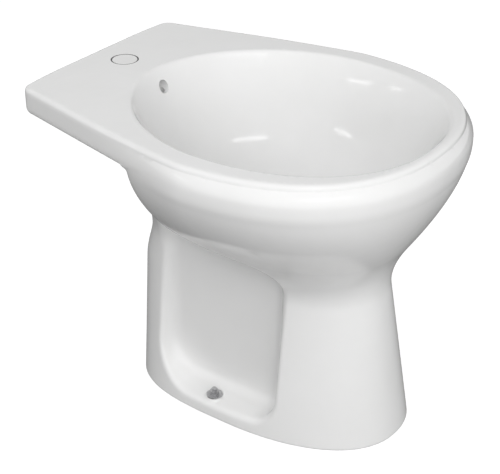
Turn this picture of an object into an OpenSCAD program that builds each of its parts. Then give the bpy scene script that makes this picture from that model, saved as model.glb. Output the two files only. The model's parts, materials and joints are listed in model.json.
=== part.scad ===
// Compact floor-standing bidet in vitreous china, with its waste, tap-hole cap and floor fixings.
// Millimetres. +Z is up, the nose points to -Y, the deck's straight back edge is at +Y.
// The origin is on the floor, in the middle of the whole object.

/* [Overall] */
// Width of the rim at its widest place
body_w = 380; // [350:1:400]
// Length from the nose to the back edge of the deck
body_l = 478; // [455:1:505]
// Height from the floor to the top of the rim
body_h = 375; // [360:1:395]
// Thickness of the fired clay walls
wall_t = 11; // [9:0.5:13]

/* [Rim and deck] */
// Length from the widest place forward to the nose
nose_l = 203; // [190:1:220]
// Roundness of the nose outline, where 2 is an ellipse
nose_round = 2.25; // [2:0.05:2.5]
// Width of the deck's back edge, measured between its straight sides
deck_w = 257; // [240:1:280]
// Length of the bend where the round rim turns into the deck's straight side
deck_bend = 0.06; // [0.04:0.02:0.4]
// Radius of the deck's two back corners, seen from above
deck_corner_r = 16; // [8:1:24]
// How far the back edge curves forward on its way to the two corners
back_bow = 3; // [0:0.5:5]
// Rounding of the rim's outer top edge
rim_edge_r = 6; // [3:0.5:8]
// How far the side of the rim leans out below its top edge, at the nose
rim_lean = 8.5; // [0:0.5:10]
// Height of the apron round the deck
apron_h = 32; // [26:1:40]
// Rounding of the apron's lower edge
apron_edge_r = 7; // [4:0.5:8]
// Thickness of the apron
apron_t = 11; // [9:0.5:14]
// Thickness of the deck round the tap hole
deck_t = 14; // [10:1:18]

/* [Bowl] */
// Inside width of the bowl at the rim
bowl_w = 309; // [290:1:318]
// Distance from the deck's back edge to the bowl's inside edge
bowl_back_gap = 96; // [90:1:110]
// Distance from the nose to the bowl's inside edge
bowl_setback = 22; // [18:1:30]
// Rounding of the bowl's inside edge
bowl_edge_r = 7; // [3:0.5:9]
// Depth from the rim to the seat of the waste
bowl_depth = 146; // [130:1:150]
// Diameter of the overflow hole in the bowl's rear wall
overflow_d = 15; // [12:1:16]
// Depth of the overflow hole's centre below the rim
overflow_drop = 20.5; // [18:0.5:26]
// Diameter of the cast overflow channel
channel_d = 12; // [8:1:12]
// Fullness of the bowl's outer side, where 1 is a straight cone
bowl_full = 1.8; // [1.2:0.1:2.2]

/* [Pedestal] */
// Height of the neck between bowl and pedestal
neck_h = 191; // [180:1:200]
// Width of the neck
neck_w = 160; // [152:1:176]
// Length of the neck from its widest place forward
neck_nose_l = 142; // [132:1:152]
// Length of the neck from its widest place backward
neck_back_l = 160; // [152:1:168]
// Width of the foot on the floor
foot_w = 209; // [200:1:220]
// Length of the foot from its widest place forward
foot_nose_l = 181; // [172:1:192]
// Length of the foot from its widest place backward
foot_back_l = 160; // [152:1:170]
// Squareness of the pedestal's back corners, where 2 is an ellipse
foot_square = 3; // [2.4:0.1:4]
// Width of the service opening in the pedestal's back
service_w = 96; // [80:1:110]
// Height of the service opening
service_h = 150; // [120:1:165]

/* [Side recess] */
// Distance between the two flat recess panels
panel_gap = 130; // [122:1:140]
// Distance from the floor stud forward to the recess's front edge
recess_front = 90; // [84:1:96]
// Distance from the floor stud backward to the recess's rear edge
recess_rear = 75; // [70:1:80]
// Height of the recess's upper edge at its front end
recess_top = 220; // [212:1:224]
// Rise of that edge towards the back
recess_rise = 10; // [0:1:12]
// Height of the foot ledge at its outer edge
ledge_h = 17; // [15:1:22]
// Slope of the ledge and of the recess's ceiling, as rise over run
recess_slope = 0.2; // [0.1:0.02:0.26]

/* [Tap hole] */
// Distance from the deck's back edge to the middle of the tap hole
tap_setback = 47; // [42:1:52]
// Diameter of the hole through the deck
tap_hole_d = 28; // [24:1:29]
// Diameter of the seat sunk into the deck round the hole
cap_seat_d = 33.4; // [32.4:0.1:36]
// Depth of that seat
cap_seat_h = 4; // [3:0.5:5]
// Width of the grey seal ring that shows round the cap
seal_show = 1.5; // [1:0.1:1.8]
// Diameter of the cap's threaded stem
cap_stem_d = 8; // [6:1:12]
// Diameter of the washer under the deck
cap_washer_d = 42; // [38:1:48]

/* [Waste] */
// Outside diameter of the waste's thread, 1 1/4 inch pipe
waste_d = 41.9; // [40:0.1:42]
// Wall of the waste's tube
waste_wall = 2.4; // [2:0.1:3]
// Diameter of the hole through the bowl's floor
drain_d = 45; // [44:0.5:46]
// Diameter of the waste's flange
flange_d = 63; // [60:1:66]
// Thickness of the clay round the drain, below the flange's seat
drain_boss_h = 36; // [32:1:38]
// Length of the waste's tube below the flange's seat
waste_l = 92; // [80:1:105]
// Height of the overflow slots in the waste's tube
slot_h = 14; // [10:1:15]
// Diameter of the push-down plug
plug_d = 42; // [41:0.5:44]
// Travel of the plug between open and closed
plug_travel = 8; // [6:0.5:9]
// Diameter of the plug's stem
plug_stem_d = 6; // [5:0.5:7]
// Diameter of the plug spring's wire
spring_wire_d = 0.9; // [0.7:0.1:1.1]
// Turns of the plug's spring
spring_turns = 6; // [4:1:7]

/* [Floor fixings] */
// Distance between the two floor studs
stud_gap = 176; // [170:1:180]
// Diameter of a floor stud
stud_d = 6; // [5:1:8]
// Length of stud that stands above its nut
stud_show = 4; // [2:0.5:8]
// Diameter of the washer on the ledge
stud_washer_d = 19; // [17:0.5:21]
// Thickness of that washer
stud_washer_t = 1.6; // [1:0.1:2.5]
// Wall of the nylon sleeve round the stud
sleeve_wall = 2; // [1.4:0.1:2.4]

/* [Hidden] */

// Gap of parts that slide on each other, of parts on a thread, and of parts laid in place
running_gap = 0.08;
thread_gap = 0.05;
loose_gap = 0.3;
round_fn = 64;

// Stations along half of an outline, from the nose to the middle of the back
front_n = 13;
side_n = 8;
corner_n = 4;
back_n = 4;
rear_n = side_n + corner_n + back_n;
half_n = front_n + rear_n;
ring_n = 2 * half_n;

half_w = body_w / 2;
nose_y = -body_l / 2;
deck_y = body_l / 2;
wide_y = nose_y + nose_l;
edge_z = body_h - rim_edge_r;
apron_z = body_h - apron_h;
widest_z = apron_z + apron_edge_r + 2;
deck_z = body_h - deck_t;
seat_z = body_h - bowl_depth;
dish_h = 4;
dish_r = flange_d / 2 + 1;
floor_z = seat_z + dish_h;
boss_z = seat_z - drain_boss_h;
boss_r = dish_r + 10;
drain_y = wide_y + 21;
stud_y = wide_y + 36;

// Helpers for smooth shapes
function mix(a, b, t) = a + (b - a) * t;
function ramp(v, lo, hi) = let (t = min(1, max(0, (v - lo) / (hi - lo)))) t * t * (3 - 2 * t);
function soft_min(a, b, k) = let (h = max(k - abs(a - b), 0) / k) min(a, b) - h * h * k / 4;
function soft_max(a, b, k) = -soft_min(-a, -b, k);
function unit(v) = v / norm(v);
function power(v, p) = pow(max(v, 0), p);
function raised(p, z) = [p.x, p.y, z];
function bezier(a, b, c, d, t) =
    a * pow(1 - t, 3) + 3 * b * pow(1 - t, 2) * t + 3 * c * (1 - t) * t * t + d * pow(t, 3);

// One station of an oval: half width w, widest at y, reaching a to the front and b to the back
function oval(i, w, y, a, b, front_round, back_round) =
    i <= front_n
    ? let (q = 90 * (1 - i / front_n))
        [w * power(cos(q), 2 / front_round), y - a * power(sin(q), 2 / front_round)]
    : let (q = 90 * (i - front_n) / rear_n)
        [w * power(cos(q), 2 / back_round), y + b * power(sin(q), 2 / back_round)];

// Half width of the deck's side at y, straight with a soft bend behind the widest place
function bend_share(u) =
    (sqrt(u * u + deck_bend * deck_bend) - deck_bend) / (sqrt(1 + deck_bend * deck_bend) - deck_bend);
function side_x(y) = mix(half_w, deck_w / 2, bend_share((y - wide_y) / (deck_y - wide_y)));
corner_y = deck_y - deck_corner_r;
corner_turn = atan(side_x(corner_y - 1) - side_x(corner_y));
side_end_y = corner_y - back_bow + deck_corner_r * sin(corner_turn);
corner_x = side_x(side_end_y) - deck_corner_r * cos(corner_turn);
back_turn = atan(2 * back_bow / (corner_x / 2));

// One station of the rim and deck, seen from above
function rim(i) =
    i < 0 ? [-rim(-i).x, rim(-i).y] :
    i > half_n ? [-rim(ring_n - i).x, rim(ring_n - i).y] :
    i <= front_n ? oval(i, half_w, wide_y, nose_l, 1, nose_round, 2) :
    i <= front_n + side_n
    ? let (y = mix(wide_y, side_end_y, pow((i - front_n) / side_n, 1.5))) [side_x(y), y]
    : i <= front_n + side_n + corner_n
    ? let (q = mix(corner_turn, 90 - back_turn, (i - front_n - side_n) / corner_n))
        [corner_x + deck_corner_r * cos(q), corner_y - back_bow + deck_corner_r * sin(q)]
    : let (u = (half_n - i) / back_n) [corner_x * u, deck_y - back_bow * pow(max(0, 2 * u - 1), 2)];
function rim_normal(i) = let (t = unit(rim(i + 1) - rim(i - 1))) [t.y, -t.x];
function rim_in(i, d) = rim(i) - d * rim_normal(i);

// The rim leans out most at the nose and stands upright at the deck's end
lean_start = -84;
lean_end = 158;
function lean(i) = rim_lean * (1 - ramp(rim(i).y, wide_y + lean_start, wide_y + lean_end));

// The bowl's outer skin leaves the apron where the deck begins
shell_back = 12;
bowl_back_y = deck_y - bowl_back_gap;
skin_back_l = bowl_back_y + shell_back - wide_y;
skin_back_round = 1.8;
deck_start = 46;
deck_full = 150;
apron_full = 81;
function deck_share(i) = i <= front_n ? 0 : ramp(rim(i).y, wide_y + deck_start, wide_y + deck_full);
function apron_share(i) = i <= front_n ? 0 : ramp(rim(i).y, wide_y, wide_y + apron_full);
function skin_top(i) =
    mix(rim(i), oval(i, half_w, wide_y, nose_l, skin_back_l, nose_round, skin_back_round), deck_share(i));

// The neck and the pedestal below it, widening evenly down to the floor
neck_y = wide_y + 8;
foot_y = wide_y + 15.5;
back_bulge = 8;
bulge_start = 10;
bulge_drop = 45;
function stem(i, z) =
    let (t = 1 - z / neck_h, s = ramp(neck_h + bulge_start - z, 0, bulge_drop),
        back = mix(neck_back_l + back_bulge * s, foot_back_l, max(t, 0)))
    oval(i, mix(neck_w, foot_w, t) / 2, mix(neck_y, foot_y, t), mix(neck_nose_l, foot_nose_l, t), back,
        nose_round, foot_square);

// Share of the way from the pedestal's shape to the rim's shape at height z
swell_low = neck_h + 14;
swell_k = 0.39;
function swell(z) = soft_max(0, 1 - power((widest_z - z) / (widest_z - swell_low), bowl_full), swell_k);
function flow(i, z) = mix(swell(z), 1, ramp(z, apron_z - 2 * apron_edge_r, widest_z) * (1 - apron_share(i)));
function skin(i, z) = mix(stem(i, z), skin_top(i), flow(i, z));

// The bowl's inside: t runs from the flat floor at 0 up to the edge rounding at 1
bowl_y = wide_y + 4;
bowl_nose_l = bowl_y - (nose_y + bowl_setback);
bowl_back_l = bowl_back_y - bowl_y;
bowl_top_z = body_h - bowl_edge_r;
floor_r = dish_r + 2;
function bowl_rim(i, grow) =
    oval(i, bowl_w / 2 + grow, bowl_y, bowl_nose_l + grow, bowl_back_l + grow, 2.19, 1.88);
function disc(i, r) = oval(i, r, drain_y, r, r, 2, 2);
function bowl(i, t) =
    raised(mix(disc(i, floor_r), bowl_rim(i, -2.5), bezier(0, 0.75, 0.78, 1, t)),
        bezier(floor_z, floor_z + 2, bowl_top_z - 50, bowl_top_z, t));

// The same surface one wall thickness below
function bowl_under(i, t) =
    let (a = bowl(i, t - 0.02), b = bowl(i, t + 0.02), p = bowl(i, t),
        run = norm([b.x - a.x, b.y - a.y]), rise = b.z - a.z, len = norm([run, rise]),
        out = unit([p.x, p.y - drain_y]))
    [p.x + out.x * wall_t * rise / len, p.y + out.y * wall_t * rise / len, p.z - wall_t * run / len];

// The hollow in the pedestal, drawn in beside the two recesses
core_x = panel_gap / 2 - wall_t;
core_blend = 16;
function open_end(y) =
    ramp(stud_y - y, recess_front + wall_t, recess_front + wall_t + core_blend)
    + ramp(y - stud_y, recess_rear + wall_t, recess_rear + wall_t + core_blend);
function skin_in(i, z) =
    let (q = skin(min(i + 1, half_n), z), r = skin(max(i - 1, 0), z),
        d = i == 0 ? [1, 0] : i == half_n ? [-1, 0] : unit(q - r))
    skin(i, z) - wall_t * [d.y, -d.x];
function hollow(i, z) = let (s = skin_in(i, z))
    [min(s.x, mix(core_x, half_w, open_end(s.y))), s.y, z];
function hollow_open(i) = open_end(skin_in(i, neck_h).y);

// The rings of the body, from the bowl's floor over the rim, down outside and back up inside
bowl_steps = [0, 0.1, 0.2, 0.3, 0.4, 0.5, 0.6, 0.7, 0.8, 0.9, 1];
lean_steps = [0.35, 0.7, 1];
bowl_shares = [0.9, 0.8, 0.7, 0.61, 0.515, 0.425, 0.34, 0.265, 0.195, 0.13, 0.065];
stem_shares = [1, 0.94, 0.875, 0.8, 0.685, 0.5, 0.315, 0.16, 0.016];
skin_steps = concat([for (u = bowl_shares) mix(neck_h, apron_z, u)], neck_h * stem_shares);
hollow_ends = (seat_z + 33) * [0, 0.23, 0.5, 0.67, 0.765, 0.85, 0.925, 1];
hollow_sides = (seat_z - 16) * [0, 0.28, 0.515, 0.705, 0.845, 0.92, 0.967, 1];
under_steps = [1, 0.75, 0.5, 0.25, 0];

function lip_width(i) = norm(skin_top(i) - rim(i));
function lip_point(i, d) = lip_width(i) < 0.5 ? rim(i) : mix(rim(i), skin_top(i), d / lip_width(i));
function lip(i, d, drop, z) = let (e = deck_share(i), h = mix(apron_z - drop, z, e))
    raised(mix(skin(i, apron_z - drop), lip_point(i, d), e), h);
lip_drop = 9;
skin_rise_z = neck_h + 60;
function skin_z(i, z) =
    z + (deck_z - apron_z + lip_drop) * ramp(z, skin_rise_z, apron_z - lip_drop) * deck_share(i);

bowl_rings = [for (t = bowl_steps) [for (i = [0:half_n]) bowl(i, t)]];
bowl_edge_rings = [for (q = [60, 30, 0]) [for (i = [0:half_n])
    raised(bowl_rim(i, mix(-2.5, bowl_edge_r, 1 - sin(q))), bowl_top_z + bowl_edge_r * cos(q))]];
rim_rings = [for (q = [0, 30, 60, 90]) [for (i = [0:half_n])
    raised(rim_in(i, lean(i) + rim_edge_r * (1 - sin(q))), edge_z + rim_edge_r * cos(q))]];
lean_rings = [for (u = lean_steps) [for (i = [0:half_n])
    raised(rim_in(i, lean(i) * pow(1 - u, 2)), mix(edge_z, widest_z, u))]];
apron_rings = [for (q = [30, 60, 90]) [for (i = [0:half_n])
    let (z = apron_z + apron_edge_r * (1 - sin(q)), d = min(apron_edge_r, 0.35 * lip_width(i)) * (1 - cos(q)))
    raised(mix(skin(i, z), rim_in(i, d), apron_share(i)), z)]];
lip_rings = [
    [for (i = [0:half_n]) lip(i, min(apron_t - 2, 0.45 * lip_width(i)), lip_drop / 3, apron_z)],
    [for (i = [0:half_n]) lip(i, min(apron_t, 0.6 * lip_width(i)), lip_drop * 2 / 3, deck_z)],
    [for (i = [0:half_n]) lip(i, lip_width(i), lip_drop, deck_z)]];
skin_rings = [for (z = skin_steps) [for (i = [0:half_n]) raised(skin(i, skin_z(i, z)), skin_z(i, z))]];
foot_ring = [for (i = [0:half_n]) let (s = skin(i, 0)) [s.x * 0.99, mix(s.y, foot_y, 0.006), 0]];
hollow_rings = [for (k = [0:len(hollow_ends) - 1]) [for (i = [0:half_n])
    hollow(i, mix(hollow_sides[k], hollow_ends[k], hollow_open(i)))]];
under_rings = [for (k = under_steps) [for (i = [0:half_n])
    bowl_under(i, mix(0.08, mix(0.13, 0.44, hollow_open(i)), k))]];
boss_rings = [for (p = [[boss_r + 2, floor_z - wall_t], [boss_r, floor_z - wall_t - 3], [boss_r, boss_z + 3],
    [boss_r - 3, boss_z]]) [for (i = [0:half_n]) raised(disc(i, p.x), p.y)]];
half_rings = concat(bowl_rings, bowl_edge_rings, rim_rings, lean_rings, apron_rings, lip_rings, skin_rings,
    [foot_ring], hollow_rings, under_rings, boss_rings);

// Mirrors each half ring to a whole one and closes the stack with a point at both ends
function whole(h) = concat(
    [for (i = [0:half_n]) [i == 0 || i == half_n ? 0 : h[i].x, h[i].y, h[i].z]],
    [for (i = [half_n - 1:-1:1]) [-h[i].x, h[i].y, h[i].z]]);
body_points = concat([[0, drain_y, floor_z]], [for (h = half_rings) each whole(h)], [[0, drain_y, boss_z]]);
ring_count = len(half_rings);
last_point = ring_count * ring_n + 1;
function at(r, j) = 1 + r * ring_n + j % ring_n;
body_faces = concat(
    [for (j = [0:ring_n - 1]) [0, at(0, j + 1), at(0, j)]],
    [for (r = [0:ring_count - 2]) for (j = [0:ring_n - 1]) each j < half_n
        ? [[at(r, j), at(r, j + 1), at(r + 1, j + 1)], [at(r, j), at(r + 1, j + 1), at(r + 1, j)]]
        : [[at(r, j), at(r, j + 1), at(r + 1, j)], [at(r, j + 1), at(r + 1, j + 1), at(r + 1, j)]]],
    [for (j = [0:ring_n - 1]) [at(ring_count - 1, j), at(ring_count - 1, j + 1), last_point]]);

// The recess beside the neck, cut from one side
recess_out = half_w + 10;
recess_skin_x = 98;
ledge_skin_x = 104;
module recess_slice(x) {
    ledge = ledge_h + recess_slope * (ledge_skin_x - x);
    top = recess_top - recess_slope * (recess_skin_x - x);
    for (c = [[-recess_front, ledge, 30, 1, 1], [recess_rear, ledge, 50, -1, 1],
        [-recess_front, top, 38, 1, -1], [recess_rear, top + recess_rise, 22, -1, -1]])
        translate([x, stud_y + c[0] + c[3] * c[2], c[1] + c[4] * c[2]])
            rotate([0, 90, 0])
                cylinder(h = 0.5, r = c[2], $fn = 32);
}
module recess(side) {
    mirror([side < 0 ? 1 : 0, 0, 0])
        hull() {
            recess_slice(panel_gap / 2);
            recess_slice(recess_out);
        }
}

// A round bar or bore from one point to another
module bar(a, b, r, more) {
    d = b - a;
    translate(a - unit(d) * more)
        rotate([0, atan2(norm([d.x, d.y]), d.z), atan2(d.y, d.x)])
            cylinder(h = norm(d) + 2 * more, r = r, $fn = round_fn);
}

// The cast overflow channel: down behind the bowl, then forward into the drain
tap_y = deck_y - tap_setback;
overflow_z = body_h - overflow_drop;
slot_z = seat_z - 28;
channel_top = [0, bowl_back_y - 1, overflow_z];
channel_bend = [0, bowl_back_y - 22, seat_z + 23];
overflow_start_y = bowl_back_y - 43;
channel_end = [0, drain_y, slot_z + 2];
channel_r = channel_d / 2;
rib_r = channel_r + 5;

// Floor fixings: the washer lies level on a small seat in the sloping ledge
stud_r = stud_d / 2;
sleeve_r = stud_r + running_gap + sleeve_wall;
stud_hole_r = sleeve_r + loose_gap;
pad_z = ledge_h + recess_slope * (ledge_skin_x - stud_gap / 2) + 0.5;
nut_z = pad_z + stud_washer_t;
nut_h = stud_d * 0.83;
nut_af = stud_d * 1.67;

service_y = stud_y + recess_rear + wall_t + 4;
service_len = 90;
module service_opening() {
    translate([-service_w / 2, service_y, -5])
        cube([service_w, service_len, service_h - service_w / 2 + 5]);
    translate([0, service_y, service_h - service_w / 2])
        rotate([-90, 0, 0])
            cylinder(h = service_len, d = service_w, $fn = round_fn);
}

module ceramic_body() {
    color([0.96, 0.96, 0.94])
        difference() {
            union() {
                difference() {
                    polyhedron(points = body_points, faces = body_faces, convexity = 10);
                    for (side = [-1, 1])
                        recess(side);
                }
                bar(mix(channel_top, channel_bend, 0.7), channel_bend, rib_r, 2);
                bar(channel_bend, channel_end + [0, 30, 6], rib_r, 2);
                translate(channel_bend)
                    sphere(r = rib_r + 0.8, $fn = round_fn);
                for (side = [-1, 1])
                    translate([side * stud_gap / 2, stud_y, 5])
                        cylinder(h = pad_z - 5, r = stud_washer_d / 2 + 0.8, $fn = round_fn);
            }
            bar(channel_top, channel_bend, channel_r, 4);
            bar(channel_bend, channel_end, channel_r, 4);
            translate([0, overflow_start_y, overflow_z])
                rotate([-90, 0, 0])
                    cylinder(h = channel_top.y - overflow_start_y, d = overflow_d, $fn = round_fn);
            translate([0, drain_y, seat_z])
                cylinder(h = 20, r = dish_r, $fn = round_fn);
            translate([0, drain_y, boss_z - 5])
                cylinder(h = 50, d = drain_d, $fn = round_fn);
            translate([0, tap_y, deck_z - 5])
                cylinder(h = 30, d = tap_hole_d, $fn = round_fn);
            translate([0, tap_y, body_h - cap_seat_h])
                cylinder(h = 10, d = cap_seat_d, $fn = round_fn);
            for (side = [-1, 1])
                translate([side * stud_gap / 2, stud_y, -5])
                    cylinder(h = 45, r = stud_hole_r, $fn = round_fn);
            for (side = [-1, 1])
                translate([side * stud_gap / 2, stud_y, pad_z])
                    cylinder(h = 12, r = stud_washer_d / 2 + 0.8, $fn = round_fn);
            service_opening();
        }
}

// The cap that closes the tap hole
cap_seat_z = body_h - cap_seat_h;
cap_floor_t = 1;
seal_out_r = cap_seat_d / 2 - running_gap;
seal_in_r = seal_out_r - seal_show;
cap_r = seal_in_r - thread_gap;
cap_stem_r = cap_stem_d / 2;
cap_nut_h = 9;
cap_washer_t = 2;
wing_w = cap_washer_d - 2;

module cap_disc() {
    color([0.93, 0.93, 0.92])
        translate([0, tap_y, 0])
            rotate_extrude($fn = round_fn)
                polygon([[0, cap_seat_z - deck_t - 18], [cap_stem_r - 0.8, cap_seat_z - deck_t - 18],
                    [cap_stem_r, cap_seat_z - deck_t - 17.2], [cap_stem_r, cap_seat_z + cap_floor_t],
                    [cap_r, cap_seat_z + cap_floor_t], [cap_r, body_h - 0.4], [cap_r - 0.4, body_h],
                    [0, body_h]]);
}

module cap_seal_ring() {
    color([0.38, 0.38, 0.39])
        translate([0, tap_y, 0])
            rotate_extrude($fn = round_fn)
                polygon([[tap_hole_d / 2 + 0.2, cap_seat_z], [seal_out_r, cap_seat_z],
                    [seal_out_r, body_h - 0.2], [seal_in_r, body_h - 0.2],
                    [seal_in_r, cap_seat_z + cap_floor_t], [tap_hole_d / 2 + 0.2, cap_seat_z + cap_floor_t]]);
}

module ring(z, h, outer_r, inner_r) {
    translate([0, 0, z])
        difference() {
            cylinder(h = h, r = outer_r, $fn = round_fn);
            translate([0, 0, -1])
                cylinder(h = h + 2, r = inner_r, $fn = round_fn);
        }
}

module hex_nut(z, h, across, inner_r) {
    translate([0, 0, z])
        difference() {
            cylinder(h = h, r = across / sqrt(3), $fn = 6);
            translate([0, 0, -1])
                cylinder(h = h + 2, r = inner_r, $fn = round_fn);
        }
}

module cap_washer() {
    color([0.2, 0.2, 0.2])
        translate([0, tap_y, 0])
            ring(deck_z - cap_washer_t, cap_washer_t, cap_washer_d / 2, cap_stem_r + loose_gap);
}

module cap_nut() {
    color([0.9, 0.9, 0.88])
        translate([0, tap_y, deck_z - cap_washer_t - cap_nut_h])
            difference() {
                union() {
                    cylinder(h = cap_nut_h, r = cap_stem_r + 5, $fn = round_fn);
                    translate([-wing_w / 2, -1.5, 0])
                        cube([wing_w, 3, cap_nut_h]);
                }
                translate([0, 0, -1])
                    cylinder(h = cap_nut_h + 2, r = cap_stem_r + thread_gap, $fn = round_fn);
            }
}

// The waste: a slotted tube with a flange, clamped through the bowl's floor
tube_r = waste_d / 2;
tube_in_r = tube_r - waste_wall;
bed_t = 1.5;
flange_z = seat_z + bed_t;
flange_top_z = flange_z + 2;
mouth_r = tube_r + 0.05;
mouth_z = flange_z - 1.5;
bridge_z = slot_z - 13;
bridge_h = 10;
hub_r = 8;
guide_r = 5;
cone_z = boss_z - 6;
slip_t = 1.5;
backnut_h = 12;
clamp_r = drain_d / 2 + 7.5;
free_z = cone_z - slip_t - backnut_h - 2;

module waste_flange_seal() {
    color([0.25, 0.25, 0.25])
        translate([0, drain_y, 0])
            ring(seat_z, bed_t, flange_d / 2 - 0.5, tube_r + 0.2);
}

module waste_body() {
    color([0.8, 0.81, 0.82])
        translate([0, drain_y, 0]) {
            difference() {
                rotate_extrude($fn = round_fn)
                    polygon([[tube_in_r, seat_z - waste_l], [tube_r - 0.8, seat_z - waste_l],
                        [tube_r, seat_z - waste_l + 0.8], [tube_r, free_z - 1.5],
                        [tube_r - 0.6, free_z - 1.5], [tube_r - 0.6, free_z], [tube_r, free_z],
                        [tube_r, flange_z], [flange_d / 2, flange_z],
                        [flange_d / 2, flange_top_z - 0.8], [flange_d / 2 - 0.8, flange_top_z],
                        [mouth_r, flange_top_z], [tube_in_r, mouth_z]]);
                for (turn = [0, 90])
                    rotate([0, 0, turn])
                        translate([-tube_r - 1, -6, slot_z])
                            cube([2 * tube_r + 2, 12, slot_h]);
            }
            difference() {
                union() {
                    translate([0, 0, bridge_z])
                        cylinder(h = bridge_h, r = hub_r, $fn = round_fn);
                    for (turn = [0, 90])
                        rotate([0, 0, turn])
                            translate([-tube_in_r - 0.5, -2, bridge_z + 2])
                                cube([2 * tube_in_r + 1, 4, bridge_h - 4]);
                }
                translate([0, 0, bridge_z - 1])
                    cylinder(h = bridge_h + 2, r = guide_r + thread_gap, $fn = round_fn);
            }
        }
}

cone_lip_h = 3;
module waste_cone_seal() {
    color([0.15, 0.15, 0.15])
        translate([0, drain_y, 0])
            rotate_extrude($fn = round_fn)
                polygon([[tube_r + 0.1, cone_z], [clamp_r, cone_z], [clamp_r, boss_z],
                    [drain_d / 2 - loose_gap, boss_z], [drain_d / 2 - loose_gap - 0.5, boss_z + cone_lip_h],
                    [tube_r + 0.1, boss_z + cone_lip_h]]);
}

module waste_slip_washer() {
    color([0.88, 0.88, 0.85])
        translate([0, drain_y, 0])
            ring(cone_z - slip_t, slip_t, clamp_r, tube_r + 0.1);
}

module waste_backnut() {
    color([0.78, 0.7, 0.5])
        translate([0, drain_y, 0])
            hex_nut(cone_z - slip_t - backnut_h, backnut_h, waste_d + 10, tube_r + thread_gap);
}

// The push-down plug, drawn open, as the spring holds it
seal_t = 1.6;
plug_seal_r = plug_d / 2 - 1;
seal_touch_z = mouth_z + (plug_seal_r - tube_in_r) / (mouth_r - tube_in_r) * (flange_top_z - mouth_z);
cover_z = seal_touch_z + 0.1 + seal_t + plug_travel;
guide_z = bridge_z - 4;
guide_top_z = slot_z + 5;
stem_r = plug_stem_d / 2;
spring_r = stem_r + 2;
stem_tail = 5;
collar_t = 2;
collar_w = 1.6;
collar_z = guide_z - 0.1;

module plug_cover() {
    color([0.85, 0.86, 0.87])
        translate([0, drain_y, cover_z])
            difference() {
                rotate_extrude($fn = round_fn)
                    polygon([[0, 0], [plug_d / 2 - 0.6, 0], [plug_d / 2, 0.6], [plug_d / 2, 1.8],
                        [plug_d / 2 - 0.8, 2.6], [plug_d / 3, 3.4], [plug_d / 6, 3.9], [0, 4]]);
                translate([0, 0, -1])
                    cylinder(h = 3, r = stem_r + 0.02, $fn = round_fn);
            }
}

module plug_seal() {
    color([0.12, 0.12, 0.12])
        translate([0, drain_y, 0])
            ring(cover_z - seal_t, seal_t, plug_seal_r, spring_r + 4);
}

module plug_stem() {
    color([0.75, 0.76, 0.78])
        translate([0, drain_y, 0])
            rotate_extrude($fn = round_fn)
                polygon([[0, guide_z - stem_tail], [stem_r, guide_z - stem_tail],
                    [stem_r, collar_z - collar_t], [stem_r + collar_w, collar_z - collar_t],
                    [stem_r + collar_w, collar_z], [stem_r, collar_z],
                    [stem_r, cover_z + 2], [0, cover_z + 2]]);
}

module plug_guide() {
    color([0.82, 0.75, 0.55])
        translate([0, drain_y, 0])
            difference() {
                union() {
                    translate([0, 0, guide_z])
                        cylinder(h = guide_top_z - guide_z, r = guide_r, $fn = round_fn);
                    translate([0, 0, bridge_z + bridge_h])
                        cylinder(h = 3, r = 7.2, $fn = 6);
                }
                translate([0, 0, guide_z - 1])
                    cylinder(h = guide_top_z - guide_z + 2, r = stem_r + running_gap, $fn = round_fn);
            }
}

// A round wire wound along a helix, with flat end turns
wire_r = spring_wire_d / 2;
spring_low = guide_top_z + wire_r;
spring_high = cover_z - wire_r;
turn_n = 12;
wire_n = 6;
coil_n = spring_turns * turn_n;
function coil_z(k) = mix(spring_low, spring_high, min(1, max(0, (k / turn_n - 0.75) / (spring_turns - 1.5))));
function coil_point(k, j) = let (a = 360 * k / turn_n, b = 360 * j / wire_n, r = spring_r + wire_r * cos(b))
    [r * cos(a), r * sin(a), coil_z(k) + wire_r * sin(b)];
module plug_spring() {
    points = [for (k = [0:coil_n]) for (j = [0:wire_n - 1]) coil_point(k, j)];
    sides = [for (k = [0:coil_n - 1]) for (j = [0:wire_n - 1]) let (m = (j + 1) % wire_n)
        each [[k * wire_n + j, k * wire_n + m, (k + 1) * wire_n + m],
            [k * wire_n + j, (k + 1) * wire_n + m, (k + 1) * wire_n + j]]];
    ends = [[for (j = [wire_n - 1:-1:0]) j], [for (j = [0:wire_n - 1]) coil_n * wire_n + j]];
    color([0.7, 0.71, 0.73])
        translate([0, drain_y, 0])
            polyhedron(points = points, faces = concat(sides, ends), convexity = 8);
}

// The floor fixings, the same on both sides
module stud(side) {
    color([0.72, 0.73, 0.75])
        translate([side * stud_gap / 2, stud_y, 0])
            rotate_extrude($fn = round_fn)
                polygon([[0, 1], [stud_r, 1], [stud_r, nut_z + nut_h + stud_show - 0.8],
                    [stud_r - 0.8, nut_z + nut_h + stud_show], [0, nut_z + nut_h + stud_show]]);
}

module sleeve(side) {
    color([0.93, 0.93, 0.9])
        translate([side * stud_gap / 2, stud_y, 0])
            ring(2, pad_z - 2, sleeve_r, stud_r + running_gap);
}

module stud_washer(side) {
    color([0.8, 0.81, 0.83])
        translate([side * stud_gap / 2, stud_y, 0])
            ring(pad_z, stud_washer_t, stud_washer_d / 2, stud_r + loose_gap);
}

module stud_nut(side) {
    color([0.8, 0.81, 0.83])
        translate([side * stud_gap / 2, stud_y, 0])
            hex_nut(nut_z, nut_h, nut_af, stud_r + thread_gap);
}

ceramic_body();
cap_disc();
cap_seal_ring();
cap_washer();
cap_nut();
waste_flange_seal();
waste_body();
waste_cone_seal();
waste_slip_washer();
waste_backnut();
plug_cover();
plug_seal();
plug_stem();
plug_guide();
plug_spring();
stud(-1);  // left_stud
sleeve(-1);  // left_sleeve
stud_washer(-1);  // left_washer
stud_nut(-1);  // left_nut
stud(1);  // right_stud
sleeve(1);  // right_sleeve
stud_washer(1);  // right_washer
stud_nut(1);  // right_nut
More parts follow.
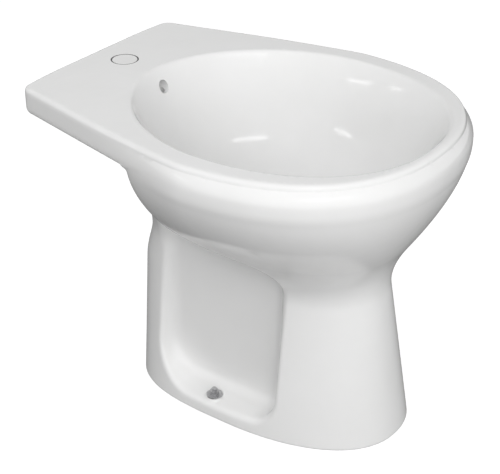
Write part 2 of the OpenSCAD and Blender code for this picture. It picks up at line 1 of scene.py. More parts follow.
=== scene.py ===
import json
import math
import bmesh
import bpy
import numpy as np
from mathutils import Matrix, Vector


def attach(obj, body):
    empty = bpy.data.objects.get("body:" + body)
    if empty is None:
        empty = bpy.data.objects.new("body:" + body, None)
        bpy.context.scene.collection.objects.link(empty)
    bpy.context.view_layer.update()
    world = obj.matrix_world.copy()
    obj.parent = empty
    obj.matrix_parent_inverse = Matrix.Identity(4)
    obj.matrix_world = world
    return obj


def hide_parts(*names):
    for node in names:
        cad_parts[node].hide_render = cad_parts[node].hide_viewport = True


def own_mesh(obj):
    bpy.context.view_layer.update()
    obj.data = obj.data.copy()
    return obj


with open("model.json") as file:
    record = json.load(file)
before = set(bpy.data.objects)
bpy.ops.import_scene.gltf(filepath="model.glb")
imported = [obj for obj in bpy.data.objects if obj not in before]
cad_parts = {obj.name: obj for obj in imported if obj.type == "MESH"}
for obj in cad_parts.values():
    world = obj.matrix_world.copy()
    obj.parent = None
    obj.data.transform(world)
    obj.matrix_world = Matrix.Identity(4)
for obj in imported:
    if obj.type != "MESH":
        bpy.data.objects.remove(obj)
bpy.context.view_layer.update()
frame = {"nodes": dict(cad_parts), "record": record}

nodes = frame["nodes"]
scene = bpy.context.scene

# Camera, at the photograph's viewing angle
cam = bpy.data.cameras.new("camera")
cam_obj = bpy.data.objects.new("camera", cam)
scene.collection.objects.link(cam_obj)
scene.camera = cam_obj
cam.sensor_width = 36
cam.lens = 92.44
cam_obj.location = (-1.0712, -0.7517, 0.9483)
look = Vector((0, 0.0104, 0.1932)) - cam_obj.location
cam_obj.rotation_euler = look.to_track_quat("-Z", "Y").to_euler()

# The china body's sizes in millimetres, the same as in the CAD where nothing else is said
BODY_W, BODY_L, BODY_H, WALL = 380.0, 478.0, 375.0, 11.0
NOSE_L, NOSE_ROUND, DECK_W, DECK_BEND, CORNER_R, BACK_BOW = 203.0, 2.25, 257.0, 0.06, 16.0, 3.0
RIM_LEAN, APRON_H, APRON_R, APRON_T, DECK_T = 8.5, 32.0, 7.0, 11.0, 14.0
BOWL_W, BOWL_BACK_GAP, BOWL_SETBACK = 309.0, 96.0, 22.0
NECK_H, NECK_W, NECK_NOSE, NECK_BACK = 191.0, 160.0, 142.0, 160.0
FOOT_W, FOOT_NOSE, FOOT_BACK, FOOT_SQUARE = 209.0, 181.0, 160.0, 3.0
BOWL_FULL, SWELL_K = 1.8, 0.39
# The scene's own: the rounding of the bowl's edge and the lift of the underside at the rear
EDGE_K, REAR_LIFT = 3.0, 14.0
# Side recess: its back wall, its ledge, and, the scene's own, its ceiling and inner rounding
RECESS_X, LEDGE_Z, LEDGE_SLOPE, CEILING_Z, CEILING_SLOPE, RECESS_FILLET = 65, 17, 0.2, 230, 0.28, 17.5
# Floor screws, service arch, channel of the overflow
STUD_X, STUD_HOLE_R, SEAT_R = 88, 5.38, 10.3
ARCH_Z, ARCH_HALF, ARCH_START = 102, 48, 90
CHANNEL_R, CHANNEL_WALL = 6, 11
TAP_Y, TAP_R, TAP_SEAT_R = 192, 14, 16.7
DRAIN_R, FLANGE_R, BOSS_R, OVERFLOW_R, OVERFLOW_Z = 22.5, 32.5, 42.5, 7.5, 354.5

half_w = BODY_W / 2
nose_y, deck_y = -BODY_L / 2, BODY_L / 2
wide_y = nose_y + NOSE_L
stud_y, drain_y = wide_y + 36, wide_y + 21
edge_z = BODY_H - 6
apron_z = BODY_H - APRON_H
widest_z = apron_z + APRON_R + 2
deck_z = BODY_H - DECK_T
bowl_back_y = deck_y - BOWL_BACK_GAP
skin_back = bowl_back_y + 12 - wide_y
floor_z = 233.0
FRONT, SIDE, CORNER, BACK = 13, 8, 4, 4
REAR = SIDE + CORNER + BACK
HALF = FRONT + REAR


def ramp(v, lo, hi):
    t = np.clip((v - lo) / (hi - lo), 0, 1)
    return t * t * (3 - 2 * t)


def mix(a, b, t):
    return a + (b - a) * t


def smin(a, b, k):
    k = np.maximum(k, 1e-6)
    h = np.maximum(k - abs(a - b), 0) / k
    return np.minimum(a, b) - h * h * k / 4


def smax(a, b, k):
    return -smin(-a, -b, k)


# Stations along half an outline, from the nose (0) to the middle of the back (HALF)
st = np.concatenate([np.linspace(0, FRONT, 120, endpoint=False),
                     np.linspace(FRONT, FRONT + SIDE, 90, endpoint=False),
                     np.linspace(FRONT + SIDE, FRONT + SIDE + CORNER, 36, endpoint=False),
                     np.linspace(FRONT + SIDE + CORNER, HALF, 30)])
in_front = st <= FRONT


def oval(w, y, a, b, front_round, back_round):
    q = np.where(in_front, np.pi / 2 * (1 - st / FRONT), np.pi / 2 * (st - FRONT) / REAR)
    c, s = np.cos(q).clip(0), np.sin(q).clip(0)
    n = np.where(in_front, front_round, back_round)
    return np.stack([w * c ** (2 / n), np.where(in_front, y - a * s ** (2 / n), y + b * s ** (2 / n))], -1)


def side_x(y):
    u = (y - wide_y) / (deck_y - wide_y)
    share = (np.sqrt(u * u + DECK_BEND ** 2) - DECK_BEND) / (np.sqrt(1 + DECK_BEND ** 2) - DECK_BEND)
    return mix(half_w, DECK_W / 2, share)


def rim_outline():
    corner_y = deck_y - CORNER_R
    turn = np.arctan(side_x(corner_y - 1) - side_x(corner_y))
    end_y = corner_y - BACK_BOW + CORNER_R * np.sin(turn)
    cx = side_x(end_y) - CORNER_R * np.cos(turn)
    back_turn = np.arctan(2 * BACK_BOW / (cx / 2))
    out = oval(half_w, wide_y, NOSE_L, 1, NOSE_ROUND, 2)
    y = mix(wide_y, end_y, np.clip((st - FRONT) / SIDE, 0, 1) ** 1.5)
    q = mix(turn, np.pi / 2 - back_turn, np.clip((st - FRONT - SIDE) / CORNER, 0, 1))
    u = (HALF - st) / BACK
    side = np.stack([side_x(y), y], -1)
    corner = np.stack([cx + CORNER_R * np.cos(q), corner_y - BACK_BOW + CORNER_R * np.sin(q)], -1)
    back = np.stack([cx * u, deck_y - BACK_BOW * np.clip(2 * u - 1, 0, 9) ** 2], -1)
    for lo, part in ((FRONT, side), (FRONT + SIDE, corner), (FRONT + SIDE + CORNER, back)):
        out = np.where((st > lo)[:, None], part, out)
    return out


rim = rim_outline()
deck_share = np.where(in_front, 0, ramp(rim[:, 1], wide_y + 46, wide_y + 150))
apron_share = np.where(in_front, 0, ramp(rim[:, 1], wide_y, wide_y + 81))
lean = RIM_LEAN * (1 - ramp(rim[:, 1], wide_y - 84, wide_y + 158))
skin_top = mix(rim, oval(half_w, wide_y, NOSE_L, skin_back, NOSE_ROUND, 1.8), deck_share[:, None])
lip_width = np.linalg.norm(skin_top - rim, axis=1)
rear_lift = np.where(in_front, 0, REAR_LIFT * ramp(rim[:, 1], wide_y + 20, wide_y + 150))
bowl_y = wide_y + 4
bowl_nose = bowl_y - (nose_y + BOWL_SETBACK)
bowl_back = bowl_back_y - bowl_y


def skin(z):
    t = 1 - z / NECK_H
    s = ramp(NECK_H + 10 - z, 0, 45)
    stem = oval(mix(NECK_W, FOOT_W, t) / 2, mix(wide_y + 8, wide_y + 15.5, t), mix(NECK_NOSE, FOOT_NOSE, t),
                mix(NECK_BACK + 8 * s, FOOT_BACK, max(t, 0)), NOSE_ROUND, FOOT_SQUARE)
    low = NECK_H + 14 + rear_lift
    swell = smax(0.0 * low, 1 - np.maximum(0, (widest_z - z) / (widest_z - low)) ** BOWL_FULL, SWELL_K)
    flow = mix(swell, 1, ramp(z, apron_z - 2 * APRON_R, widest_z) * (1 - apron_share))
    return mix(stem, skin_top, flow[:, None])


# Tables of each outline as radius by angle about one upright line
CY = -20.0
TH = np.linspace(0, np.pi, 1081)


def polar(points, values=None):
    a = np.arctan2(points[:, 0], -(points[:, 1] - CY))
    a[0], a[-1] = 0, np.pi
    v = np.hypot(points[:, 0], points[:, 1] - CY) if values is None else values
    order = np.argsort(a, kind="stable")
    return np.interp(TH, a[order], v[order])


def table(rows, zs):
    r = np.array(rows)
    dth = np.gradient(r, TH, axis=1) / r
    dz = np.gradient(r, zs, axis=0)
    return r, 1 / np.sqrt(1 + dth ** 2 + np.clip(dz, -6, 6) ** 2)


ZS = np.arange(-12.0, 392.0, 2.0)
skin_r, skin_f = table([polar(skin(min(max(z, 0.0), 366.0))) for z in ZS], ZS)

# The bowl's section runs from the drain (share 0) up to the rim (share 1) along one curve
bt = np.linspace(0, 1, 600)
bowl_z = floor_z * (1 - bt) ** 3 + 3 * (floor_z + 2) * (1 - bt) ** 2 * bt \
    + 3 * (BODY_H - 57) * (1 - bt) * bt * bt + (BODY_H - 7) * bt ** 3
bowl_s = 3 * 0.75 * (1 - bt) ** 2 * bt + 3 * 0.78 * (1 - bt) * bt * bt + bt ** 3
end = (bowl_s[-1] - bowl_s[-3]) / (bowl_z[-1] - bowl_z[-3])
bowl_z, bowl_s = np.append(bowl_z, bowl_z[-1] + 40), np.append(bowl_s, 1 + 40 * end)
PROFILE_S, PROFILE_Z = np.linspace(0, 1.15, 1200), np.linspace(floor_z, BODY_H + 30, 1200)
z_of_s, s_of_z = np.interp(PROFILE_S, bowl_s, bowl_z), np.interp(PROFILE_Z, bowl_z, bowl_s)
z_rate, s_rate = np.gradient(z_of_s, PROFILE_S), np.gradient(s_of_z, PROFILE_Z)
shares = np.linspace(0, 1.15, 47)
bowl_top = oval(BOWL_W / 2 - 2.5, bowl_y, bowl_nose - 2.5, bowl_back - 2.5, 2.19, 1.88)
rings = np.array([polar(mix(oval(34.5, drain_y, 34.5, 34.5, 2, 2), bowl_top, k)) for k in shares])
RS = np.arange(0.0, 262.0)
share_t = np.empty((len(RS), len(TH)))
for n in range(len(TH)):
    c = rings[:, n]
    share_t[:, n] = np.interp(RS, c, shares) + np.minimum(RS - c[0], 0) * (shares[1] / (c[1] - c[0])) \
        + np.maximum(RS - c[-1], 0) * (shares[1] / (c[-1] - c[-2]))
bowl_span = rings[40] - rings[0]
rim_r = polar(rim)
rim_f = 1 / np.sqrt(1 + (np.gradient(rim_r, TH) / rim_r) ** 2)
lean_t, deck_t, lip_t = polar(rim, lean), polar(rim, deck_share), polar(rim, lip_width)


# The recess seen from the side, as a signed distance on a millimetre grid
def recess_table():
    ledge, top = LEDGE_Z + LEDGE_SLOPE * 39, CEILING_Z - CEILING_SLOPE * 33
    pts = []
    for y, z, r, sy, sz, a0 in ((-88, ledge, 30, 1, 1, 180), (80, ledge, 50, -1, 1, 270),
                                (80, top + 8.5, 16, -1, -1, 0), (-88, top, 38, 1, -1, 90)):
        q = np.radians(np.linspace(a0, a0 + 90, 24))
        pts.append(np.stack([stud_y + y + sy * r + r * np.cos(q), z + sz * r + r * np.sin(q)], -1))
    p = np.concatenate(pts)
    e = np.roll(p, -1, 0) - p
    gy, gz = np.meshgrid(np.arange(-150.0, 141.0), np.arange(-20.0, 281.0), indexing="ij")
    best = np.full(gy.shape, 1e9)
    inside = np.ones(gy.shape, bool)
    for a, d in zip(p, e):
        n = d @ d
        if n < 1e-9:
            continue
        t = np.clip(((gy - a[0]) * d[0] + (gz - a[1]) * d[1]) / n, 0, 1)
        best = np.minimum(best, np.hypot(gy - a[0] - t * d[0], gz - a[1] - t * d[1]))
        inside &= (d[0] * (gz - a[1]) - d[1] * (gy - a[0])) > 0
    return np.where(inside, -best, best)


recess_t = recess_table()


def grid_value(t, u, v):
    u = np.clip(u, 0, t.shape[0] - 1.001)
    v = np.clip(v, 0, t.shape[1] - 1.001)
    i, j = u.astype(int), v.astype(int)
    a, b = u - i, v - j
    return (t[i, j] * (1 - a) + t[i + 1, j] * a) * (1 - b) + (t[i, j + 1] * (1 - a) + t[i + 1, j + 1] * a) * b


def grid_smooth(t, u, v):
    """The same with a smooth curve through the rows."""
    u = np.clip(u, 1, t.shape[0] - 2.001)
    v = np.clip(v, 0, t.shape[1] - 1.001)
    i, j = u.astype(int), v.astype(int)
    a, b = u - i, v - j
    r = [t[i + n, j] * (1 - b) + t[i + n, j + 1] * b for n in (-1, 0, 1, 2)]
    return r[1] + 0.5 * a * (r[2] - r[0] + a * (2 * r[0] - 5 * r[1] + 4 * r[2] - r[3]
                                              + a * (3 * (r[1] - r[2]) + r[3] - r[0])))


def capsule(x, y, z, a, b, r):
    a, b = np.array(a, float), np.array(b, float)
    d = b - a
    t = np.clip(((x - a[0]) * d[0] + (y - a[1]) * d[1] + (z - a[2]) * d[2]) / (d @ d), 0, 1)
    return np.sqrt((x - a[0] - t * d[0]) ** 2 + (y - a[1] - t * d[1]) ** 2 + (z - a[2] - t * d[2]) ** 2) - r


def open_end(y):
    return ramp(stud_y - y, 101, 117) + ramp(y - stud_y, 86, 102)


def china(x, y, z):
    """Signed distance of the china body, in millimetres, negative inside."""
    x = abs(x)
    r = np.hypot(x, y - CY)
    th = np.arctan2(x, -(y - CY)) / (TH[1] - TH[0])
    zi = (z - ZS[0]) / (ZS[1] - ZS[0])
    ti = np.clip(th, 0, len(TH) - 1.001)
    j = ti.astype(int)
    f = ti - j

    def line(t):
        return t[j] * (1 - f) + t[j + 1] * f

    ds, lip = line(deck_t), line(lip_t)
    d_rim = (r - line(rim_r)) * line(rim_f)
    u = np.clip((edge_z - z) / (edge_z - widest_z), 0, 1)
    slab = smax(d_rim + line(lean_t) * (1 - u) ** 2, z - BODY_H, 7.0)
    slab = smax(slab, apron_z - z, 8.0)
    pocket = smax(d_rim + APRON_T, z - mix(apron_z - 3, deck_z, ds), 4.0)
    slab = smax(slab, -pocket, 3.0)
    d_skin = (r - grid_smooth(skin_r, zi, ti)) * grid_value(skin_f, zi, ti)
    hull = smax(d_skin, z - mix(widest_z + 1.5, deck_z + 4, ds), 1.0)
    body = smin(slab, hull, 9.0 * ramp(lip, 2, 12) * (1 - ramp(z, 346, 352)))
    body = smax(body, -z, 3.0)

    # the side recess with its soft inner corners
    shift = (x - RECESS_X) * mix(LEDGE_SLOPE, -CEILING_SLOPE, ramp(z, 80, 160))
    side = grid_value(recess_t, y + 150, z + shift + 20)
    edge = 7.0 + 9.0 * ramp(z, 175, 205) * ramp(y - stud_y, -60, 10)
    body = smax(body, -smax(side, RECESS_X - x, RECESS_FILLET), edge)

    # seats of the floor screws
    pad = np.hypot(x - STUD_X, y - stud_y) - SEAT_R
    body = smin(body, smax(pad, abs(z - 12.7) - 8.0, 1.0), 3.0)
    body = smax(body, -smax(pad, abs(z - 28.7) - 8.0, 0.5), 1.0)

    # bowl
    s = grid_value(share_t, r, ti)
    span = line(bowl_span)
    flat = (np.interp(s, PROFILE_S, z_of_s) - z) / np.sqrt(1 + (np.interp(s, PROFILE_S, z_rate) / span) ** 2)
    steep = (s - np.interp(z, PROFILE_Z, s_of_z)) * span
    steep = steep / np.sqrt(1 + (np.interp(z, PROFILE_Z, s_rate) * span) ** 2)
    d_bowl = mix(flat, steep, ramp(z, 244, 282))
    body = smax(body, -d_bowl, EDGE_K)

    # hollow pedestal with the service opening
    oe = open_end(y)
    boss = np.maximum(np.hypot(x, y - drain_y) - BOSS_R, 193 - z)
    hollow = smax(d_skin + WALL, x - mix(54, 400, oe), 6.0)
    hollow = smax(smax(hollow, WALL - d_bowl, 9.0), z - mix(213, 262, oe), 6.0)
    hollow = smax(hollow, -boss, 4.0)
    body = smax(body, -hollow, 3.0)
    arch = np.where(z > ARCH_Z, np.hypot(x, z - ARCH_Z), x) - ARCH_HALF
    body = smax(body, -np.maximum(arch, ARCH_START - y), 3.0)
    bend = (0, 121, 252)
    rib = np.minimum(capsule(x, y, z, (0, 127, 283), bend, CHANNEL_WALL),
                     capsule(x, y, z, bend, (0, 15, 209), CHANNEL_WALL))
    return smin(body, rib, 9.0)


# Surface nets over a regular grid, then every point is moved onto the true surface
def net(step):
    xs = np.arange(-198.0 + step / 2, 198.0, step)
    ys = np.arange(-246.0, 247.0, step)
    zs = np.arange(-5.3, 382.0, step)
    half = xs[xs > 0]
    gx, gy, gz = np.meshgrid(half, ys, zs, indexing="ij")
    v = china(gx.ravel(), gy.ravel(), gz.ravel()).reshape(gx.shape).astype(np.float32)
    v = np.concatenate([v[::-1], v], 0)
    xs = np.concatenate([-half[::-1], half])
    s = v < 0
    nx, ny, nz = v.shape
    total = np.zeros((nx - 1, ny - 1, nz - 1, 3), np.float32)
    count = np.zeros((nx - 1, ny - 1, nz - 1), np.float32)
    corner = [(i, j, k) for i in (0, 1) for j in (0, 1) for k in (0, 1)]

    def block(a, c):
        return a[c[0]:nx - 1 + c[0], c[1]:ny - 1 + c[1], c[2]:nz - 1 + c[2]]

    for a in corner:
        for ax in range(3):
            if a[ax]:
                continue
            b = tuple(1 if n == ax else a[n] for n in range(3))
            va, vb = block(v, a), block(v, b)
            cross = (va < 0) != (vb < 0)
            t = np.where(cross, va / np.where(cross, va - vb, 1), 0)
            for n in range(3):
                total[..., n] += np.where(cross, a[n] + (t if n == ax else 0), 0)
            count += cross
    cells = np.argwhere(count > 0)
    index = np.full(count.shape, -1, np.int64)
    index[tuple(cells.T)] = np.arange(len(cells))
    local = total[tuple(cells.T)] / count[tuple(cells.T)][:, None]
    pts = np.stack([xs[cells[:, 0]] + local[:, 0] * step, ys[cells[:, 1]] + local[:, 1] * step,
                    zs[cells[:, 2]] + local[:, 2] * step], -1).astype(float)
    faces = []
    for ax in range(3):
        b = [slice(None)] * 3
        a = [slice(None)] * 3
        a[ax], b[ax] = slice(0, -1), slice(1, None)
        cross = s[tuple(a)] != s[tuple(b)]
        e = np.argwhere(cross)
        o1, o2 = [n for n in range(3) if n != ax]
        e = e[(e[:, o1] > 0) & (e[:, o2] > 0)]
        e = e[(e[:, o1] < v.shape[o1] - 1) & (e[:, o2] < v.shape[o2] - 1)]
        inside_first = s[tuple(e.T)]
        quad = []
        for d1, d2 in ((1, 1), (0, 1), (0, 0), (1, 0)):
            c = e.copy()
            c[:, o1] -= d1
            c[:, o2] -= d2
            quad.append(index[tuple(c.T)])
        q = np.stack(quad, -1)
        flip = inside_first if ax != 1 else ~inside_first
        q = np.where(flip[:, None], q, q[:, ::-1])
        faces.append(q)
    return pts, np.concatenate(faces)


def slope(p):
    e = 0.4
    g = np.stack([china(p[:, 0] + e, p[:, 1], p[:, 2]) - china(p[:, 0] - e, p[:, 1], p[:, 2]),
                  china(p[:, 0], p[:, 1] + e, p[:, 2]) - china(p[:, 0], p[:, 1] - e, p[:, 2]),
                  china(p[:, 0], p[:, 1], p[:, 2] + e) - china(p[:, 0], p[:, 1], p[:, 2] - e)], -1) / (2 * e)
    return g


def settle(p, far):
    """Moves points onto the surface, each by no more than far at a time."""
    for _ in range(6):
        g = slope(p)
        n = np.maximum((g ** 2).sum(1), 0.04)
        p = p - g * np.clip(china(p[:, 0], p[:, 1], p[:, 2]) / n, -far, far)[:, None]
    return p


def build_china(step, passes):
    p, f = net(step)
    p = settle(p, step * 0.5)
    mesh = bpy.data.meshes.new("ceramic")
    mesh.from_pydata((p / 1000).tolist(), [], f.tolist())
    mesh.update()
    for level in range(passes):
        # edges over a tight bend are split, so that every rounding is drawn finely
        n = len(mesh.edges)
        ends = np.empty(n * 2, np.int32)
        mesh.edges.foreach_get("vertices", ends)
        ends = ends.reshape(-1, 2)
        g = slope(p)
        g /= np.maximum(np.linalg.norm(g, axis=1), 1e-9)[:, None]
        turn = (g[ends[:, 0]] * g[ends[:, 1]]).sum(1)
        size = np.linalg.norm(p[ends[:, 0]] - p[ends[:, 1]], axis=1)
        mid = (p[ends[:, 0]] + p[ends[:, 1]]) / 2
        want = (turn < math.cos(math.radians(13))) & (size > 1.2) & shown(mid)
        bm = bmesh.new()
        bm.from_mesh(mesh)
        bm.edges.ensure_lookup_table()
        bmesh.ops.subdivide_edges(bm, edges=[bm.edges[i] for i in np.flatnonzero(want)], cuts=1,
                                  use_grid_fill=True)
        bm.to_mesh(mesh)
        bm.free()
        co = np.empty(len(mesh.vertices) * 3)
        mesh.vertices.foreach_get("co", co)
        p = co.reshape(-1, 3) * 1000
        new = np.arange(len(p)) >= len(g)
        p[new] = settle(p[new], 1.5)
        mesh.vertices.foreach_set("co", (p / 1000).ravel())
        mesh.update()
    obj = bpy.data.objects.new("ceramic", mesh)
    scene.collection.objects.link(obj)
    return obj


def shown(p):
    """True for points of the outer form, the bowl and the recesses, but not inside the pedestal."""
    x, y, z = abs(p[:, 0]), p[:, 1], p[:, 2]
    return (x > 60) | (z > 240) | (abs(y - stud_y) > 112)


def cutter(name, start, way, steps, sides=96):
    """A stepped round tool: steps are (distance along the way, radius)."""
    turn = Vector(way).to_track_quat("Z", "Y")
    pts, faces = [], []
    for d, r in steps:
        for n in range(sides):
            q = 2 * math.pi * (n + 0.5) / sides
            pts.append((Vector(start) + turn @ Vector((r * math.cos(q), r * math.sin(q), d))) / 1000)
    for k in range(len(steps) - 1):
        for n in range(sides):
            a, b = k * sides + n, k * sides + (n + 1) % sides
            faces.append((a, b, b + sides, a + sides))
    faces.append(tuple(range(sides - 1, -1, -1)))
    faces.append(tuple(range((len(steps) - 1) * sides, len(steps) * sides)))
    mesh = bpy.data.meshes.new(name)
    mesh.from_pydata(pts, [], faces)
    obj = bpy.data.objects.new(name, mesh)
    scene.collection.objects.link(obj)
    return obj


def cut(obj, tools):
    bpy.context.view_layer.update()
    for t in tools:
        m = obj.modifiers.new("cut", "BOOLEAN")
        m.operation = "DIFFERENCE"
        m.object = t
        m.solver = "MANIFOLD"
        bpy.context.view_layer.update()
        done = bpy.data.meshes.new_from_object(obj.evaluated_get(bpy.context.evaluated_depsgraph_get()))
        if len(done.polygons) < 1000 or len(done.vertices) == len(obj.data.vertices):
            print("exact cut:", t.name)
            m.solver = "EXACT"
            bpy.context.view_layer.update()
            done = bpy.data.meshes.new_from_object(obj.evaluated_get(bpy.context.evaluated_depsgraph_get()))
        obj.modifiers.clear()
        obj.data = done
        bpy.data.objects.remove(t)
    return obj


ceramic = build_china(4.1, 2)
cut(ceramic, [
    cutter("drain", (0, drain_y, 188), (0, 0, 1),
           ((0, DRAIN_R), (41, DRAIN_R), (41.01, FLANGE_R), (61, FLANGE_R))),
    cutter("tap", (0, TAP_Y, 352), (0, 0, 1),
           ((0, TAP_R), (19, TAP_R), (19.01, TAP_SEAT_R), (29, TAP_SEAT_R))),
    cutter("overflow", (0, 100, OVERFLOW_Z), (0, 1, 0), ((0, OVERFLOW_R), (49, OVERFLOW_R)), 64),
    cutter("channel", (0, 142, OVERFLOW_Z), (0, -21, -102.5), ((0, CHANNEL_R), (104.6, CHANNEL_R)), 48),
    cutter("lower_channel", (0, 123, 253), (0, -106, -43), ((0, CHANNEL_R), (112, CHANNEL_R)), 48),
    cutter("stud_l", (-STUD_X, stud_y, -5), (0, 0, 1), ((0, STUD_HOLE_R), (45, STUD_HOLE_R)), 48),
    cutter("stud_r", (STUD_X, stud_y, -5), (0, 0, 1), ((0, STUD_HOLE_R), (45, STUD_HOLE_R)), 48),
])


def smooth_normals(obj):
    me = obj.data
    me.polygons.foreach_set("use_smooth", [True] * len(me.polygons))
    n = len(me.vertices)
    co = np.empty(n * 3)
    me.vertices.foreach_get("co", co)
    p = co.reshape(-1, 3) * 1000
    g = slope(p)
    g /= np.maximum(np.linalg.norm(g, axis=1), 1e-9)[:, None]
    off = abs(china(p[:, 0], p[:, 1], p[:, 2]))
    fn = np.empty(len(me.polygons) * 3)
    me.polygons.foreach_get("normal", fn)
    fn = fn.reshape(-1, 3)
    lv = np.empty(len(me.loops), np.int32)
    me.loops.foreach_get("vertex_index", lv)
    tot = np.empty(len(me.polygons), np.int32)
    me.polygons.foreach_get("loop_total", tot)
    lf = np.repeat(np.arange(len(me.polygons)), tot)
    a, b = g[lv], fn[lf]
    use = ((a * b).sum(1) > 0.4) & (off[lv] < 0.5)
    out = np.where(use[:, None], a, b)
    me.normals_split_custom_set(out.tolist())


smooth_normals(ceramic)
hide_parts("ceramic_body")
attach(ceramic, "bidet")


# Materials
def material(name, color, rough, metallic=0.0):
    m = bpy.data.materials.new(name)
    m.use_nodes = True
    t = m.node_tree
    b = t.nodes["Principled BSDF"]
    b.inputs["Base Color"].default_value = (*color, 1)
    b.inputs["Roughness"].default_value = rough
    b.inputs["Metallic"].default_value = metallic
    return m, t, b


def noise(t, scale, detail=3.0, rough=0.5):
    c = t.nodes.new("ShaderNodeTexCoord")
    n = t.nodes.new("ShaderNodeTexNoise")
    n.inputs["Scale"].default_value = scale
    n.inputs["Detail"].default_value = detail
    n.inputs["Roughness"].default_value = rough
    t.links.new(c.outputs["Object"], n.inputs["Vector"])
    return n.outputs["Fac"]


def spread(t, fac, low, high, frm=0.3, to=0.7):
    r = t.nodes.new("ShaderNodeMapRange")
    r.inputs["From Min"].default_value = frm
    r.inputs["From Max"].default_value = to
    r.inputs["To Min"].default_value = low
    r.inputs["To Max"].default_value = high
    t.links.new(fac, r.inputs["Value"])
    return r.outputs["Result"]


def tint(t, fac, a, b):
    m = t.nodes.new("ShaderNodeMix")
    m.data_type = "RGBA"
    m.inputs[6].default_value = (*a, 1)
    m.inputs[7].default_value = (*b, 1)
    t.links.new(fac, m.inputs[0])
    return m.outputs[2]


def bump(t, b, fac, strength, distance):
    n = t.nodes.new("ShaderNodeBump")
    n.inputs["Strength"].default_value = strength
    n.inputs["Distance"].default_value = distance
    t.links.new(fac, n.inputs["Height"])
    t.links.new(n.outputs["Normal"], b.inputs["Normal"])


def finish(name, a, b2, scale, rough, spreadr, metallic=0.0, strength=0.1, distance=0.0001,
           grain=900, ior=1.5):
    m, t, b = material(name, a, rough, metallic)
    t.links.new(tint(t, spread(t, noise(t, scale), 0, 1), a, b2), b.inputs["Base Color"])
    t.links.new(spread(t, noise(t, scale * 2.3, 4), rough - spreadr, rough + spreadr), b.inputs["Roughness"])
    bump(t, b, noise(t, grain, 2), strength, distance)
    b.inputs["IOR"].default_value = ior
    return m


china_m = finish("china", (0.80, 0.80, 0.795), (0.83, 0.83, 0.828), 9, 0.10, 0.03,
                 strength=0.25, distance=0.0006, grain=55, ior=1.52)
looks = {
    "china": china_m,
    "cap_white": finish("cap_white", (0.78, 0.78, 0.775), (0.81, 0.81, 0.805), 30, 0.2, 0.05, grain=300),
    "cap_grey": finish("cap_grey", (0.025, 0.025, 0.026), (0.04, 0.04, 0.041), 200, 0.6, 0.08),
    "black_rubber": finish("black_rubber", (0.02, 0.02, 0.02), (0.035, 0.035, 0.035), 150, 0.6, 0.1,
                           strength=0.3),
    "white_nylon": finish("white_nylon", (0.70, 0.69, 0.66), (0.76, 0.75, 0.72), 80, 0.42, 0.06),
    "chromed_brass": finish("chromed_brass", (0.66, 0.67, 0.68), (0.74, 0.75, 0.76), 60, 0.09, 0.03, 1.0, 0.05),
    "plain_brass": finish("plain_brass", (0.52, 0.39, 0.17), (0.62, 0.48, 0.24), 90, 0.28, 0.07, 1.0, 0.15),
    "zinc_steel": finish("zinc_steel", (0.45, 0.45, 0.46), (0.6, 0.6, 0.61), 250, 0.3, 0.1, 1.0, 0.25),
    "spring_steel": finish("spring_steel", (0.42, 0.42, 0.43), (0.55, 0.55, 0.56), 300, 0.25, 0.06, 1.0, 0.1),
}
slots = {s["node"]: s["material_slot"] for s in frame["record"]["subparts"]}
for name, obj in nodes.items():
    obj.data.materials.clear()
    obj.data.materials.append(looks[slots[name]])
ceramic.data.materials.clear()
ceramic.data.materials.append(china_m)

# The plug's spring, between its guide and the cover, as an object with its own copy of the mesh in place of the
# CAD node
spring = bpy.data.objects.new("spring", nodes["plug_spring"].data.copy())
scene.collection.objects.link(spring)
spring.matrix_world = nodes["plug_spring"].matrix_world
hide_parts("plug_spring")
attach(spring, "bidet")
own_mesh(spring)

# Floor, lights and the white background
floor_mesh = bpy.data.meshes.new("floor")
floor_mesh.from_pydata([(-9, -9, 0), (9, -9, 0), (9, 9, 0), (-9, 9, 0)], [], [(0, 1, 2, 3)])
floor = bpy.data.objects.new("floor", floor_mesh)
scene.collection.objects.link(floor)
fm = bpy.data.materials.new("floor")
fm.use_nodes = True
t = fm.node_tree
b = t.nodes["Principled BSDF"]
b.inputs["Base Color"].default_value = (0.3, 0.3, 0.3, 1)
b.inputs["Roughness"].default_value = 0.9
b.inputs["Specular IOR Level"].default_value = 0.1
out = t.nodes["Material Output"]
path = t.nodes.new("ShaderNodeLightPath")
glow = t.nodes.new("ShaderNodeEmission")
glow.inputs["Strength"].default_value = 0.87
add = t.nodes.new("ShaderNodeAddShader")
t.links.new(b.outputs[0], add.inputs[0])
t.links.new(glow.outputs[0], add.inputs[1])
sel = t.nodes.new("ShaderNodeMixShader")
t.links.new(path.outputs["Is Camera Ray"], sel.inputs[0])
t.links.new(b.outputs[0], sel.inputs[1])
t.links.new(add.outputs[0], sel.inputs[2])
t.links.new(sel.outputs[0], out.inputs["Surface"])
floor_mesh.materials.append(fm)

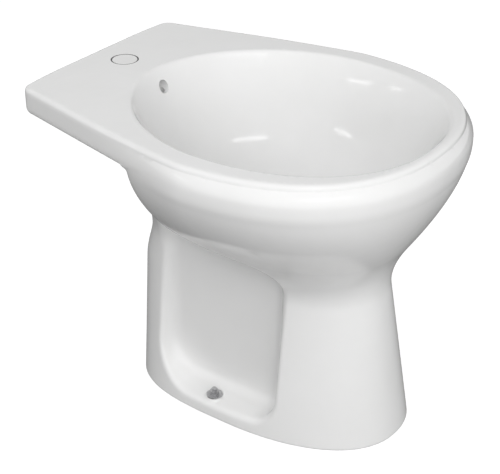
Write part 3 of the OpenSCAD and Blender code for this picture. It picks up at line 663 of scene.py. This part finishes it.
world = bpy.data.worlds.new("world")
scene.world = world
world.use_nodes = True
t = world.node_tree
back = t.nodes["Background"]
back.inputs[0].default_value = (1, 1, 1, 1)
back.inputs[1].default_value = 0.27
white = t.nodes.new("ShaderNodeBackground")
white.inputs[0].default_value = (1, 1, 1, 1)
white.inputs[1].default_value = 1.0
path = t.nodes.new("ShaderNodeLightPath")
m0 = t.nodes.new("ShaderNodeMath")
m0.operation = "MAXIMUM"
t.links.new(path.outputs["Is Glossy Ray"], m0.inputs[0])
t.links.new(path.outputs["Is Transmission Ray"], m0.inputs[1])
m1 = t.nodes.new("ShaderNodeMath")
m1.operation = "MAXIMUM"
t.links.new(path.outputs["Is Camera Ray"], m1.inputs[0])
t.links.new(m0.outputs[0], m1.inputs[1])
sel = t.nodes.new("ShaderNodeMixShader")
t.links.new(m1.outputs[0], sel.inputs[0])
t.links.new(back.outputs[0], sel.inputs[1])
t.links.new(white.outputs[0], sel.inputs[2])
t.links.new(sel.outputs[0], t.nodes["World Output"].inputs["Surface"])


def lamp(name, turn, rise, away, wide, high, power, shine=False):
    """A soft lamp, turned about the object as the camera is, aimed at its middle."""
    d = bpy.data.lights.new(name, "AREA")
    d.shape = "RECTANGLE"
    d.size, d.size_y = wide, high
    d.energy = power
    o = bpy.data.objects.new(name, d)
    scene.collection.objects.link(o)
    a, e = math.radians(turn), math.radians(rise)
    o.location = Vector((math.sin(a) * math.cos(e), -math.cos(a) * math.cos(e), math.sin(e))) * away \
        + Vector((0, 0, 0.25))
    o.location.z = max(o.location.z, 0.95)
    o.rotation_euler = (Vector((0, 0, 0.25)) - o.location).to_track_quat("-Z", "Y").to_euler()
    o.visible_glossy = shine


for name, turn, rise, power in (("front", 0, 15, 15.0), ("front_left", -30, 15, 13.3),
                                ("front_left_high", -30, 42, 2.5), ("camera_low", -60, 15, 11.5),
                                ("camera_high", -60, 42, 9.5), ("left", -90, 42, 9.0),
                                ("rear_left", -140, 50, 13.0), ("rear_right", 150, 60, 4.5)):
    lamp(name, turn, rise, 2.6, 1.6, 1.6, power)
# three that the glaze reflects, as streaks along the rim and patches in the bowl
lamp("window_front", -37, 37, 2.4, 1.25, 0.16, 3.0, True)
lamp("window_left", -124, 19.5, 2.4, 0.5, 0.07, 0.6, True)
lamp("window_rear", -147, 19.5, 2.4, 0.3, 0.07, 0.35, True)

scene.view_settings.view_transform = "Standard"
